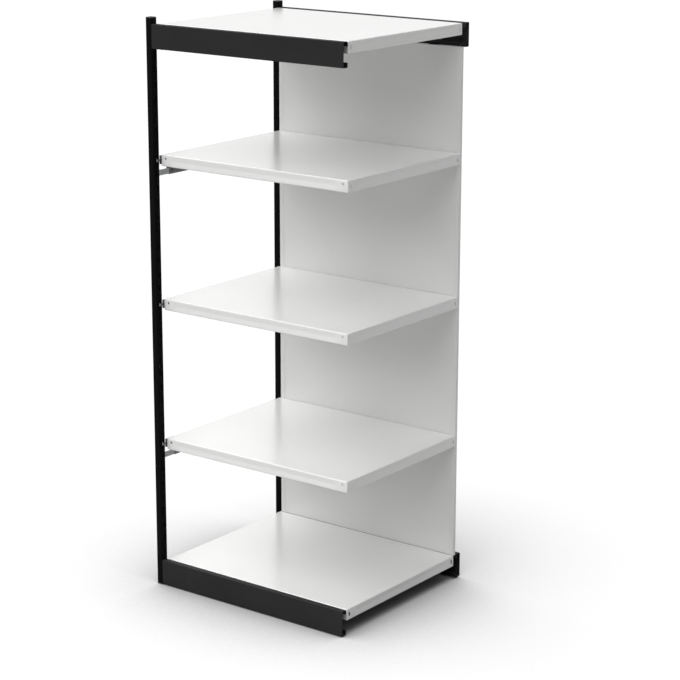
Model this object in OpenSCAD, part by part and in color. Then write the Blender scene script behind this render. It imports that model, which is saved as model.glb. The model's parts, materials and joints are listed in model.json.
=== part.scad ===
// Steel shelving bay: a ladder frame at the left end, channel rails front and rear,
// five folded steel shelves and a sectioned sheet back. The right end stays open,
// and its rails bolt to the frame of the next bay.
// X runs along the shelves, Y from the front to the back and Z up from the floor.

/* [Unit] */
// Length along the shelves, from the frame's outer face to the free ends of the rails
unit_w = 820; // [600:10:1250]
// Depth from the front face to the rear face
unit_d = 700; // [500:10:900]
// Height from the floor to the top of the posts
unit_h = 2000; // [1800:10:2400]

/* [Posts] */
// Width of a post along the shelves
post_w = 25; // [20:1:40]
// Depth of a post
post_d = 28; // [24:1:50]
// Wall of a post
post_wall = 1.5; // [1:0.1:2.5]
// Outer radius of a post's corners
post_r = 3; // [3:0.5:4]
// Width of a slot in a post
slot_w = 4; // [3.5:0.5:6]
// Height of a slot in a post
slot_h = 20; // [18:1:26]
// Distance between the centres of two slots
slot_pitch = 50; // [46:1:54]
// Height of the first slot's centre above the floor
first_slot = 125; // [115:5:150]
// Thickness of the cap on a post
cap_t = 3; // [2:0.5:5]
// Height of the foot under a post
foot_h = 5; // [3:0.5:8]
// Length of the plug that holds a cap or a foot in its post
plug_l = 14; // [8:1:16]
// Wall of a plug
plug_wall = 2; // [1.5:0.5:3]
// Radius of a plug's corners
plug_r = 1; // [1:0.25:2]

/* [Rails] */
// Distance from the top of the posts down to the top rails
rail_drop = 22; // [18:1:60]
// Height of the top rails
top_rail_h = 82; // [76:1:110]
// Height of the bottom rails
bottom_rail_h = 88; // [80:1:115]
// Gap between the floor and the bottom rails
rail_lift = 5; // [4:0.5:12]
// Width of a rail's flanges
rail_flange = 22; // [20:1:25]
// Height of the lips along the inner edges of the flanges
rail_lip = 16; // [10:1:24]
// Wall of a rail
rail_wall = 1.5; // [1:0.1:2.5]
// Outer radius of a rail's folds
rail_r = 3; // [3:0.5:4]
// Distance from a rail's end to its first hole
end_hole_inset = 15; // [12:1:20]
// Distance between the two holes at a rail's end
end_hole_pitch = 20; // [16:1:26]

/* [Rail shoes] */
// Thickness of a rail shoe
shoe_t = 2.5; // [2:0.5:4]
// Length of a shoe along its rail
shoe_l = 50; // [45:1:70]
// Distance between the two bolts of a shoe
shoe_bolt_pitch = 36; // [30:1:44]

/* [Cross-members] */
// Height of a cross-member
rung_h = 38; // [30:1:44]
// Thickness of a cross-member
rung_t = 15; // [12:1:18]
// Wall of a cross-member
rung_wall = 1.5; // [1:0.1:2.5]
// Inner radius of a cross-member's corners
rung_r = 1; // [0.5:0.5:2.5]
// Distance from the top and bottom shelf surfaces down to their cross-members
end_rung_drop = 30; // [26:1:34]
// Gap between a post and the end of a cross-member
rung_end_gap = 56; // [30:1:70]
// Thickness of the brackets that carry a cross-member
rung_bracket_t = 2; // [1.5:0.5:3]
// Height of a cross-member's bracket
rung_bracket_h = 20; // [16:1:24]
// How far a bracket reaches into its cross-member
rung_bracket_reach = 30; // [24:1:45]

/* [Shelves] */
// Height of a shelf's edge
shelf_h = 40; // [36:1:44]
// Wall of a shelf
shelf_wall = 1.2; // [0.8:0.1:1.5]
// Outer radius of a shelf's folds
shelf_r = 3; // [2:0.5:4]
// Width of the lip folded in under a shelf's edge
shelf_lip = 14; // [10:1:20]
// Distance from the front face back to a shelf's front edge
shelf_setback = 26; // [26:1:34]
// Gap between the post and a shelf's left end
shelf_end_gap = 10; // [8:1:14]
// Height of the edge at a shelf's left end, which stands on the clips
left_edge_h = 20; // [18:1:24]
// Depth of the crease pressed into a shelf's edge
crease_depth = 1.2; // [0.5:0.1:2]
// Height of the crease
crease_h = 28; // [20:1:30]
// Flat length left at each end of a crease
crease_end = 45; // [35:1:60]
// Diameter of the hole in each front corner
corner_hole_d = 8; // [6:0.5:10]
// Distance from a front corner to its hole
corner_hole_inset = 20; // [16:1:28]
// Distance from a shelf's surface down to its corner holes
corner_hole_drop = 13; // [12:1:18]
// Width of the lock slots in a shelf's right end
lock_slot_w = 8; // [6:1:10]
// Height of the lock slots
lock_slot_h = 14; // [10:1:18]
// Distance from a corner to the centre of its lock slot
lock_slot_inset = 14; // [12:1:20]
// Width of the stiffener under a shelf
hat_w = 60; // [50:1:90]
// Width of the stiffener's flat bottom
hat_crown = 34; // [24:1:40]
// Height of the stiffener
hat_h = 25; // [15:1:30]
// Wall of the stiffener
hat_wall = 1.2; // [0.8:0.1:1.5]
// Distance from each end of a shelf to its stiffener
hat_end_gap = 18; // [16:1:40]

/* [Shelf levels] */
// Slot that carries the lower shelf, counted from 0
lower_slot = 8; // [7:1:9]
// Slot that carries the middle shelf
middle_slot = 18; // [17:1:19]
// Slot that carries the upper shelf
upper_slot = 28; // [27:1:29]

/* [Clips] */
// Thickness of a shelf clip
clip_t = 2.5; // [2:0.5:3]
// Height of a shelf clip
clip_h = 30; // [26:1:32]
// Width of the tongue that a shelf stands on
tongue_w = 30; // [20:1:40]
// How far the tongue reaches in under the shelf
tongue_reach = 26; // [15:1:40]
// Distance from a slot's centre down to the tongue that a shelf stands on
tongue_drop = 5; // [3:1:7]
// Distance from the edge of a shelf to the tongue
tongue_inset = 16; // [16:1:25]
// Height of the strap that runs from a clip's plate to its slot
strap_h = 8; // [6:1:12]
// Height of a clip's hook where it passes its slot
hook_h = 13; // [10:1:14]
// How far the hook's nose hangs down behind the slot
hook_nose = 4; // [3:0.5:5]

/* [Rest brackets] */
// Thickness of the brackets that carry the top and bottom shelves
rest_t = 2; // [1.5:0.5:3]
// Width of a rest bracket along its rail
rest_w = 30; // [20:1:50]
// Height of a rest bracket's upright leg
rest_leg = 26; // [15:1:28]
// How far a rest bracket's ledge reaches in under the shelf
rest_reach = 30; // [20:1:50]
// Distance from each end of a shelf to its rest brackets
rest_inset = 110; // [80:1:200]

/* [Back] */
// Depth of the back sections
panel_t = 12; // [12:1:20]
// Wall of the back sections
panel_wall = 1; // [0.8:0.1:1.5]
// Outer radius of the upright folds of the back sections
panel_r = 2.5; // [2:0.5:4]
// Gap between the frame and the back sections
panel_start_gap = 12; // [8:1:16]
// Gap between the back sections and the open end
panel_end_gap = 2; // [0:1:12]
// Width of the border along the upright edges of a back section
panel_border = 18; // [14:1:30]
// How far the middle of a back section lies behind its borders
panel_recess = 0.8; // [0.3:0.1:1.5]
// Thickness of the strips and brackets that hold the back
strip_t = 2; // [1.5:0.5:3]
// Width of a strip along the rail
strip_w = 40; // [30:1:60]
// Distance from each end of the back to its strips and seam screws
strip_inset = 130; // [80:1:200]
// Height of a side bracket of the back
side_bracket_h = 30; // [28:1:34]

/* [Fasteners] */
// Diameter of the bolts
bolt_d = 6; // [5:0.5:8]
// Width of a bolt head across its flats
bolt_head = 10; // [9:0.5:13]
// Height of a bolt head
bolt_head_h = 4; // [3:0.5:5]
// Length of a bolt's shank
bolt_l = 12; // [10:1:16]
// Diameter of the screws
screw_d = 5; // [4:0.5:6]
// Diameter of a screw head
screw_head = 9; // [8:0.5:11]
// Height of a screw head
screw_head_h = 2.5; // [1.5:0.5:3.5]
// Length of a screw's shank
screw_l = 9; // [8:1:12]

/* [Fits] */
// Added to a shank's diameter for its hole
hole_gap = 0.5; // [0.3:0.1:0.8]
// Gap round a plug and at the ends of the rails
fit_gap = 0.3; // [0.2:0.1:0.6]
// Gap between a shelf that lifts out and the back behind it
slide_gap = 0.5; // [0.4:0.1:1.5]

/* [Hidden] */

FRAME_COLOUR = [0.09, 0.09, 0.1];
PLASTIC_COLOUR = [0.05, 0.05, 0.05];
SHELF_COLOUR = [0.93, 0.93, 0.92];
ZINC_COLOUR = [0.62, 0.63, 0.65];
STEEL_COLOUR = [0.35, 0.35, 0.36];

// Steps of a fold's quarter arc
FOLD_STEPS = 5;
// How far a cut reaches past the face that it opens
CUT = 1;
// Sides of a hexagon head
HEX = 6;
$fn = 48;

left = -unit_w / 2;
right = unit_w / 2;
front = -unit_d / 2;
rear = unit_d / 2;

// Where the frame's inner face lies
frame_x = left + post_w;
rail_x = frame_x + fit_gap;
rail_l = right - rail_x;
top_rail_top = unit_h - rail_drop;
top_rail_z = top_rail_top - top_rail_h;
bottom_rail_top = rail_lift + bottom_rail_h;

shelf_x = frame_x + shelf_end_gap;
shelf_y = front + shelf_setback;
panel_y = rear - post_d - panel_t;
shelf_l = right - shelf_x;
shelf_d = panel_y - slide_gap - shelf_y;

slot_count = floor((top_rail_z - slot_h - first_slot) / slot_pitch) + 1;
last_slot = slot_count - 1;
shelf_rise = left_edge_h - tongue_drop;
lower_top = slot_z(lower_slot) + shelf_rise;
middle_top = slot_z(middle_slot) + shelf_rise;
upper_top = slot_z(upper_slot) + shelf_rise;

function slot_z(slot) = first_slot + slot * slot_pitch;

// Points on an arc from angle a to angle b
function arc(centre, radius, a, b) =
    [for (i = [0:FOLD_STEPS]) let (t = a + (b - a) * i / FOLD_STEPS)
        centre + radius * [cos(t), sin(t)]];

// A rectangle from low to high with round corners
function round_box(low, high, r) = concat(
    arc(low + [r, r], r, 180, 270),
    arc([high.x - r, low.y + r], r, 270, 360),
    arc(high - [r, r], r, 0, 90),
    arc([low.x + r, high.y - r], r, 90, 180));

// A rail's section: web at x = 0, flanges towards +x with lips at their far edges
function channel(height) = let (
    inner = rail_r - rail_wall,
    near = rail_r,
    far = rail_flange - rail_r,
    low = rail_r,
    high = height - rail_r) concat(
    [[rail_flange, rail_lip]],
    arc([far, low], rail_r, 360, 270),
    arc([near, low], rail_r, 270, 180),
    arc([near, high], rail_r, 180, 90),
    arc([far, high], rail_r, 90, 0),
    [[rail_flange, height - rail_lip], [rail_flange - rail_wall, height - rail_lip]],
    arc([far, high], inner, 0, 90),
    arc([near, high], inner, 90, 180),
    arc([near, low], inner, 180, 270),
    arc([far, low], inner, 270, 360),
    [[rail_flange - rail_wall, rail_lip]]);

// A box between two corners
module block(low, high) {
    translate(low) cube(high - low);
}

// A section drawn in Y and Z, run along X
module along_x(from, to) {
    translate([from, 0, 0]) rotate([90, 0, 90]) linear_extrude(to - from) children();
}

// A section drawn in X and Z, run along Y
module along_y(from, to) {
    translate([0, to, 0]) rotate([90, 0, 0]) linear_extrude(to - from) children();
}

// A section drawn in X and Y, run along Z
module along_z(from, to) {
    translate([0, 0, from]) linear_extrude(to - from) children();
}

// A front piece and its mirror image at the rear
module both_sides() {
    children();
    mirror([0, 1, 0]) children();
}

// A bolt with its head on the plane x = 0 and its shank towards -x
module bolt() {
    rotate([0, 90, 0]) cylinder(h = bolt_head_h, d = bolt_head / cos(180 / HEX), $fn = HEX);
    translate([-bolt_l, 0, 0]) rotate([0, 90, 0]) cylinder(h = bolt_l, d = bolt_d);
}

// A screw with its head under the plane z = 0 and its shank towards +z
module screw() {
    translate([0, 0, -screw_head_h]) cylinder(h = screw_head_h, d = screw_head);
    cylinder(h = screw_l, d = screw_d);
}

// A hole for a bolt along X, or for a screw along Z, centred on the origin
module bolt_hole(reach) {
    rotate([0, 90, 0]) cylinder(h = reach, d = bolt_d + hole_gap, center = true);
}

module screw_hole(reach) {
    cylinder(h = reach, d = screw_d + hole_gap, center = true);
}

// Posts, caps and feet
post_low = [left, front];
post_high = [frame_x, front + post_d];
plug_low = post_low + (post_wall + fit_gap) * [1, 1];
plug_high = post_high - (post_wall + fit_gap) * [1, 1];

module post_section(inset) {
    polygon(round_box(post_low + inset * [1, 1], post_high - inset * [1, 1], post_r - inset));
}

module post() {
    color(FRAME_COLOUR) difference() {
        along_z(foot_h, unit_h - cap_t) post_section(0);
        along_z(foot_h - CUT, unit_h - cap_t + CUT) post_section(post_wall);
        for (slot = [0:last_slot])
            translate([frame_x - post_wall - CUT, front + (post_d - slot_w) / 2,
                       slot_z(slot) - slot_h / 2])
                cube([post_wall + 2 * CUT, slot_w, slot_h]);
        for (z = concat(shoe_bolt_levels(top_rail_z, top_rail_h),
                        shoe_bolt_levels(rail_lift, bottom_rail_h)))
            translate([frame_x, front + post_d / 2, z]) bolt_hole(2 * post_wall + CUT);
    }
}

// A plug that goes into a post's end
module plug(from, to) {
    along_z(from, to) difference() {
        polygon(round_box(plug_low, plug_high, plug_r));
        polygon(round_box(plug_low + plug_wall * [1, 1], plug_high - plug_wall * [1, 1],
                          plug_r));
    }
}

module cap() {
    color(PLASTIC_COLOUR) {
        along_z(unit_h - cap_t, unit_h) post_section(0);
        plug(unit_h - cap_t - plug_l, unit_h - cap_t);
    }
}

module foot() {
    color(PLASTIC_COLOUR) {
        along_z(0, foot_h) post_section(0);
        plug(foot_h, foot_h + plug_l);
    }
}

module front_post() post();
module rear_post() mirror([0, 1, 0]) post();
module front_cap() cap();
module rear_cap() mirror([0, 1, 0]) cap();
module front_foot() foot();
module rear_foot() mirror([0, 1, 0]) foot();

// Cross-members, each named by its top
top_rung_z = top_rail_top - end_rung_drop - rung_h;
bottom_rung_z = bottom_rail_top - end_rung_drop - rung_h;
upper_rung_z = upper_top - shelf_h - rung_h;
lower_rung_z = lower_top - shelf_h - rung_h;
rung_levels = [bottom_rung_z, lower_rung_z, upper_rung_z, top_rung_z];
rung_x = left + (post_w - rung_t) / 2;
rung_y = front + post_d + rung_end_gap;
// Where a bracket's bolt passes the cross-member
rung_bolt_y = rung_y + rung_bracket_reach / 2;

module rung(z) {
    low = [rung_x, z];
    high = [rung_x + rung_t, z + rung_h];
    color(STEEL_COLOUR) difference() {
        along_y(rung_y, -rung_y)
            polygon(round_box(low, high, rung_wall + rung_r));
        along_y(rung_y - CUT, -rung_y + CUT)
            polygon(round_box(low + rung_wall * [1, 1], high - rung_wall * [1, 1], rung_r));
        both_sides() translate([high.x, rung_bolt_y, rung_bolt_z(z)])
            bolt_hole(2 * rung_wall + CUT);
    }
}

// A bracket stands in the lower half of its cross-member
function rung_bracket_z(z) = z + rung_wall + rung_r;
function rung_bolt_z(z) = rung_bracket_z(z) + rung_bracket_h / 2;

module rung_bracket(z) {
    inner_x = rung_x + rung_t - rung_wall;
    low_z = rung_bracket_z(z);
    high_z = low_z + rung_bracket_h;
    difference() {
        union() {
            block([rung_x, front + post_d, low_z],
                  [inner_x, front + post_d + rung_bracket_t, high_z]);
            block([inner_x - rung_bracket_t, front + post_d, low_z],
                  [inner_x, rung_y + rung_bracket_reach, high_z]);
        }
        translate([inner_x, rung_bolt_y, rung_bolt_z(z)]) bolt_hole(2 * rung_bracket_t + CUT);
    }
}

module top_rung() rung(top_rung_z);
module upper_rung() rung(upper_rung_z);
module lower_rung() rung(lower_rung_z);
module bottom_rung() rung(bottom_rung_z);

module rung_brackets() {
    color(ZINC_COLOUR) for (z = rung_levels) both_sides() rung_bracket(z);
}

module rung_bolts() {
    color(STEEL_COLOUR) for (z = rung_levels)
        both_sides() translate([rung_x + rung_t, rung_bolt_y, rung_bolt_z(z)]) bolt();
}

// Rails, their shoes and their fasteners
function end_holes() = [end_hole_inset, end_hole_inset + end_hole_pitch];
function shoe_bolt_levels(z, height) = [for (side = [-1, 1])
    z + height / 2 + side * shoe_bolt_pitch / 2];
rail_hole_y = front + rail_flange / 2;
strip_x = [frame_x + panel_start_gap + strip_inset, right - panel_end_gap - strip_inset];

module rail(z, height, hole_z) {
    color(FRAME_COLOUR) difference() {
        translate([0, front, z]) along_x(rail_x, right) polygon(channel(height));
        for (x = end_holes(), from_end = [rail_x + x, right - x])
            translate([from_end, rail_hole_y, z]) screw_hole(2 * rail_wall + CUT);
        if (hole_z != undef)
            for (x = strip_x)
                translate([x, rail_hole_y, hole_z]) screw_hole(2 * rail_wall + CUT);
    }
}

module front_top_rail() rail(top_rail_z, top_rail_h);
module rear_top_rail() mirror([0, 1, 0]) rail(top_rail_z, top_rail_h, top_rail_z);
module front_bottom_rail() rail(rail_lift, bottom_rail_h);
module rear_bottom_rail() mirror([0, 1, 0]) rail(rail_lift, bottom_rail_h, bottom_rail_top);

// A shoe stands inside its rail's end: one leg on the post, one on the lower flange
module shoe(z, height) {
    low = [frame_x, front + rail_r, z + rail_wall];
    far_y = front + rail_flange - rail_r;
    difference() {
        union() {
            block(low, [frame_x + shoe_t, far_y, z + height - rail_wall - fit_gap]);
            block(low, [frame_x + shoe_l, far_y, low.z + shoe_t]);
        }
        for (level = shoe_bolt_levels(z, height))
            translate([frame_x, front + post_d / 2, level]) bolt_hole(2 * shoe_t + CUT);
        for (x = end_holes())
            translate([rail_x + x, rail_hole_y, z]) screw_hole(4 * (rail_wall + shoe_t));
    }
}

module top_rail_shoes() {
    color(ZINC_COLOUR) both_sides() shoe(top_rail_z, top_rail_h);
}

module bottom_rail_shoes() {
    color(ZINC_COLOUR) both_sides() shoe(rail_lift, bottom_rail_h);
}

module shoe_bolts() {
    color(ZINC_COLOUR)
        for (level = concat(shoe_bolt_levels(top_rail_z, top_rail_h),
                            shoe_bolt_levels(rail_lift, bottom_rail_h)))
            both_sides() translate([frame_x + shoe_t, front + post_d / 2, level]) bolt();
}

module rail_screws() {
    color(ZINC_COLOUR) for (z = [rail_lift, top_rail_z], x = end_holes())
        both_sides() translate([rail_x + x, rail_hole_y, z]) screw();
}

// Shelves
shelf_end = [shelf_x + shelf_l, shelf_y + shelf_d];

// A shelf's outside, or with an inset its inside, as a block with folded edges
module shelf_block(inset) {
    r = shelf_r - inset;
    top = -inset;
    intersection() {
        along_x(shelf_x, shelf_end.x)
            polygon(round_top([shelf_y + inset, shelf_end.y - inset], top, r));
        along_y(shelf_y, shelf_end.y)
            polygon(round_top([shelf_x + inset, shelf_end.x - inset], top, r));
        along_z(-shelf_h, 0)
            polygon(round_box([shelf_x, shelf_y] + inset * [1, 1],
                              shelf_end - inset * [1, 1], r));
    }
}

// A section from below a shelf's edge up to its top, with both upper corners round
function round_top(span, top, r) = concat(
    [[span[0], -shelf_h - CUT]],
    arc([span[0] + r, top - r], r, 180, 90),
    arc([span[1] - r, top - r], r, 90, 0),
    [[span[1], -shelf_h - CUT]]);

// The crease in an edge: a groove from outside, or the same shape moved in by the wall
function crease(at, inward) = let (middle = -shelf_h / 2) [
    [at, middle - crease_h / 2],
    [at + inward * crease_depth, middle],
    [at, middle + crease_h / 2]];

// Grooves outside the front, rear and right edges; spread lengthens them for the inside
module creases(inset, spread) {
    from = shelf_x + crease_end - spread;
    to = shelf_end.x - crease_end + spread;
    along_x(from, to) {
        polygon(crease(shelf_y + inset, 1));
        polygon(crease(shelf_end.y - inset, -1));
    }
    along_y(shelf_y + crease_end - spread, shelf_end.y - crease_end + spread)
        polygon(crease(shelf_end.x - inset, -1));
}

module shelf_body() {
    difference() {
        shelf_block(0);
        creases(0, 0);
        difference() {
            shelf_block(shelf_wall);
            creases(shelf_wall, shelf_wall);
            shelf_lips();
        }
        left_edge_cut();
        corner_holes();
        lock_slots();
    }
}

// The lips folded in under the front, rear and right edges
module shelf_lips() {
    difference() {
        block([shelf_x, shelf_y, -shelf_h], [shelf_end.x, shelf_end.y, -shelf_h + shelf_wall]);
        block([shelf_x - CUT, shelf_y + shelf_lip, -shelf_h - CUT],
              [shelf_end.x - shelf_lip, shelf_end.y - shelf_lip, -shelf_h + shelf_wall + CUT]);
    }
}

module left_edge_cut() {
    block([shelf_x - CUT, shelf_y + shelf_lip, -shelf_h - CUT],
          [shelf_x + shelf_r, shelf_end.y - shelf_lip, -left_edge_h]);
}

module corner_holes() {
    for (x = [shelf_x + corner_hole_inset, shelf_end.x - corner_hole_inset])
        translate([x, shelf_y, -corner_hole_drop]) rotate([90, 0, 0])
            cylinder(h = 2 * shelf_r, d = corner_hole_d, center = true);
}

module lock_slots() {
    for (y = [shelf_y + lock_slot_inset, shelf_end.y - lock_slot_inset])
        translate([shelf_end.x - shelf_r, y - lock_slot_w / 2, -(shelf_h + lock_slot_h) / 2])
            cube([shelf_r + CUT, lock_slot_w, lock_slot_h]);
}

module shelf(top) {
    color(SHELF_COLOUR) translate([0, 0, top]) shelf_body();
}

// The stiffener is a hat section under the middle of a shelf
module stiffener(top) {
    half = hat_w / 2;
    crown = hat_crown / 2;
    outer = [[-half, -hat_wall], [-half, 0], [half, 0], [half, -hat_wall],
             [crown, -hat_wall], [crown, -hat_h], [-crown, -hat_h], [-crown, -hat_wall]];
    color(SHELF_COLOUR) translate([0, shelf_y + shelf_d / 2, top - shelf_wall])
        along_x(shelf_x + hat_end_gap, shelf_end.x - hat_end_gap)
            difference() {
                polygon(outer);
                translate([-crown + hat_wall, -hat_h + hat_wall])
                    square([hat_crown - 2 * hat_wall, hat_h]);
            }
}

module top_shelf() shelf(top_rail_top);
module upper_shelf() shelf(upper_top);
module middle_shelf() shelf(middle_top);
module lower_shelf() shelf(lower_top);
module bottom_shelf() shelf(bottom_rail_top);
module top_stiffener() stiffener(top_rail_top);
module upper_stiffener() stiffener(upper_top);
module middle_stiffener() stiffener(middle_top);
module lower_stiffener() stiffener(lower_top);
module bottom_stiffener() stiffener(bottom_rail_top);

// A rest bracket: an upright leg on the rail's web and a ledge under the shelf's lip
module rest_bracket(x, top, edge_y) {
    under = top - shelf_h;
    web_y = front + rail_wall;
    block([x, web_y, under - rest_leg], [x + rest_w, web_y + rest_t, under]);
    block([x, web_y, under - rest_t], [x + rest_w, edge_y + rest_reach, under]);
}

module rest_brackets(top) {
    color(ZINC_COLOUR)
        for (x = [shelf_x + rest_inset, shelf_end.x - rest_inset - rest_w]) {
            rest_bracket(x, top, shelf_y);
            mirror([0, 1, 0]) rest_bracket(x, top, -shelf_end.y);
        }
}

module top_rest_brackets() rest_brackets(top_rail_top);
module bottom_rest_brackets() rest_brackets(bottom_rail_top);

// Clips: a plate behind the post, a strap and hook into one slot, and a tongue under
// the shelf's end
module hook(centre) {
    low = centre - slot_h / 2;
    half = clip_t / 2;
    y = front + post_d / 2;
    behind = frame_x - post_wall;
    block([behind, y - half, low], [frame_x, y + half, low + hook_h]);
    block([behind - clip_t, y - half, low - hook_nose], [behind, y + half, low + hook_h]);
}

module clip(centre, edge_y) {
    tongue_top = centre - tongue_drop;
    far_y = edge_y + tongue_inset + tongue_w;
    top = centre + slot_h / 2;
    low = centre - slot_h / 2;
    block([frame_x, front + post_d, top - clip_h], [frame_x + clip_t, far_y, top]);
    block([frame_x, front + (post_d - clip_t) / 2, low],
          [frame_x + clip_t, front + post_d, low + strap_h]);
    block([frame_x, far_y - tongue_w, tongue_top - clip_t],
          [shelf_x + tongue_reach, far_y, tongue_top]);
    hook(centre);
}

module clips(slot) {
    color(STEEL_COLOUR) {
        clip(slot_z(slot), shelf_y);
        mirror([0, 1, 0]) clip(slot_z(slot), -shelf_end.y);
    }
}

module upper_clips() clips(upper_slot);
module middle_clips() clips(middle_slot);
module lower_clips() clips(lower_slot);

// Back sections, with their seams behind the shelves
panel_x = frame_x + panel_start_gap;
panel_end_x = right - panel_end_gap;
panel_bottom = bottom_rail_top - panel_wall;
panel_top = top_rail_z + panel_wall;
upper_seam = upper_top - shelf_h / 2;
middle_seam = middle_top - shelf_h / 2;
lower_seam = lower_top - shelf_h / 2;
seams = [lower_seam, middle_seam, upper_seam];
// The seam screws sit midway between the sheet and the flanges' rear edges
panel_screw_y = panel_y + (panel_recess + panel_wall + panel_t) / 2;
rear_hole_y = -rail_hole_y;

// The plan of a section: its outside, or with an inset its inside, open to the rear
function panel_plan(inset) = let (r = panel_r - inset) concat(
    [[panel_x + inset, rear]],
    arc([panel_x + panel_r, panel_y + panel_r], r, 180, 270),
    arc([panel_end_x - panel_r, panel_y + panel_r], r, 270, 360),
    [[panel_end_x - inset, rear]]);

module back_section(from, to) {
    middle_x = [panel_x + panel_border, panel_end_x - panel_border];
    recess_y = panel_y + panel_recess;
    color(SHELF_COLOUR) difference() {
        along_z(from, to) polygon(panel_plan(0));
        block([left, panel_y + panel_t, from - CUT], [right, rear + CUT, to + CUT]);
        block([middle_x[0], panel_y - CUT, from - CUT], [middle_x[1], recess_y, to + CUT]);
        difference() {
            along_z(from + panel_wall, to - panel_wall) polygon(panel_plan(panel_wall));
            block([middle_x[0] - panel_wall, panel_y, from],
                  [middle_x[1] + panel_wall, recess_y + panel_wall, to]);
        }
        for (x = strip_x, z = seams) translate([x, panel_screw_y, z])
            screw_hole(4 * panel_wall);
    }
}

module top_back() back_section(upper_seam, panel_top);
module upper_back() back_section(middle_seam, upper_seam);
module lower_back() back_section(lower_seam, middle_seam);
module bottom_back() back_section(panel_bottom, lower_seam);

// A side bracket hooks into the rear post and holds a section's end
module side_bracket(centre) {
    low_z = centre - side_bracket_h / 2;
    high_z = centre + side_bracket_h / 2;
    bridge_y = rear - post_d + strip_t;
    block([frame_x, panel_y, low_z], [frame_x + strip_t, rear - post_r, high_z]);
    block([frame_x, bridge_y - strip_t, low_z], [panel_x, bridge_y, high_z]);
    block([panel_x - strip_t, panel_y + panel_r, low_z], [panel_x, bridge_y, high_z]);
    mirror([0, 1, 0]) hook(centre);
}

module back_side_brackets() {
    color(ZINC_COLOUR)
        for (slot = [lower_slot - 1, middle_slot - 1, upper_slot - 1, last_slot - 1])
            side_bracket(slot_z(slot));
}

// A strip lies flat on the back's upper or lower flange and on the rear rail's flange
module strip(x, z) {
    difference() {
        block([x - strip_w / 2, panel_y + 2 * panel_wall, z],
              [x + strip_w / 2, rear - rail_r, z + strip_t]);
        translate([x, rear_hole_y, z]) screw_hole(4 * strip_t);
    }
}

module back_strips() {
    color(ZINC_COLOUR) for (x = strip_x) {
        strip(x, top_rail_z - strip_t);
        strip(x, bottom_rail_top);
    }
}

module strip_screws() {
    color(ZINC_COLOUR) for (x = strip_x) {
        translate([x, rear_hole_y, top_rail_z - strip_t]) screw();
        translate([x, rear_hole_y, bottom_rail_top + strip_t]) mirror([0, 0, 1]) screw();
    }
}

module seam_screws() {
    color(ZINC_COLOUR) for (x = strip_x, z = seams)
        translate([x, panel_screw_y, z - panel_wall]) screw();
}

front_post();
rear_post();
front_cap();
rear_cap();
front_foot();
rear_foot();
top_rung();
upper_rung();
lower_rung();
bottom_rung();
rung_brackets();
rung_bolts();
front_top_rail();
rear_top_rail();
front_bottom_rail();
rear_bottom_rail();
top_rail_shoes();
bottom_rail_shoes();
shoe_bolts();
rail_screws();
top_shelf();
upper_shelf();
middle_shelf();
lower_shelf();
bottom_shelf();
top_stiffener();
upper_stiffener();
middle_stiffener();
lower_stiffener();
bottom_stiffener();
top_rest_brackets();
bottom_rest_brackets();
upper_clips();
middle_clips();
lower_clips();
top_back();
upper_back();
lower_back();
bottom_back();
back_side_brackets();
back_strips();
strip_screws();
seam_screws();
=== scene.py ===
import json
from math import cos, radians, sqrt

import bmesh
import bpy
from mathutils import Matrix, Vector


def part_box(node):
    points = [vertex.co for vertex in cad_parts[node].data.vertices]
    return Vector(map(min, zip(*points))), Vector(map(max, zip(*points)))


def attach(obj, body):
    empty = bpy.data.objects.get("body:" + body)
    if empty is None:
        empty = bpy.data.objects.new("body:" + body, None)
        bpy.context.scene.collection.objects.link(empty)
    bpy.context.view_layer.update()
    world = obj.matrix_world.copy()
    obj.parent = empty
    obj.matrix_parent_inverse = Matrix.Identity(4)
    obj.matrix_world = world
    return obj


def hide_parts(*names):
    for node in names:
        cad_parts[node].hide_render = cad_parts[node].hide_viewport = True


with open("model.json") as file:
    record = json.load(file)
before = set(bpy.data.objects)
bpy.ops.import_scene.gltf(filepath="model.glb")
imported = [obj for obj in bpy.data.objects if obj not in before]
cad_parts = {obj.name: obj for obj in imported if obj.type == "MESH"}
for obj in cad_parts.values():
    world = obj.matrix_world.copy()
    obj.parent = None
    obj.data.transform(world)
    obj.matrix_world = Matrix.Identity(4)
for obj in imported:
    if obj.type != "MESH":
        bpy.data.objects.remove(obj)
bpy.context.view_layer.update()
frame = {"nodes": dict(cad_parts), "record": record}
MM = 0.001

# Camera: place in metres, turn in degrees, lens and sensor in millimetres, and how far it
# sees in metres
CAMERA_PLACE = (4.3326, -5.5771, 2.7702)
CAMERA_TURN = (75.0608, -0.1127, 36.9937)
CAMERA_LENS = 111.86
SENSOR = 36
CAMERA_REACH = 500

# Soft lamps: height above the floor and bearing from the front towards the left, in
# degrees, then the strength
SOFT_LAMPS = ((45, 0, 1.6), (45, 45, 0.48), (45, 90, 1.45), (45, 135, 0.27),
              (45, -90, 0.7), (30, 20, 0.4))
# How wide each lamp looks from the object, in degrees
LAMP_WIDTH = 60
# How bright the sky shows in a gloss, where the camera sees it as 1
SKY_IN_GLOSS = 0.8

# Half the floor's width and how far the painted shadow round the object reaches, in metres
FLOOR_HALF = 60
PAINTED_SHADOW_REACH = 1.0
# The share of open sky at which the painted shadow is black, and the share at which it ends
PAINTED_SHADOW_BLACK = 0.32
PAINTED_SHADOW_CLEAR = 0.96
# How much light the floor throws back, how much of the seen floor glows by itself, and
# how bright that glow is, which the painted shadow darkens
FLOOR_BOUNCE = 0.3
FLOOR_GLOW = 0.8
FLOOR_WHITE = 1.04

# All sizes from here on are in millimetres, as in the part's source. A wall is the
# thickness of a sheet, and FOLD the outer radius of the folds of shelves, rails and posts.
FOLD = 3

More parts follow.
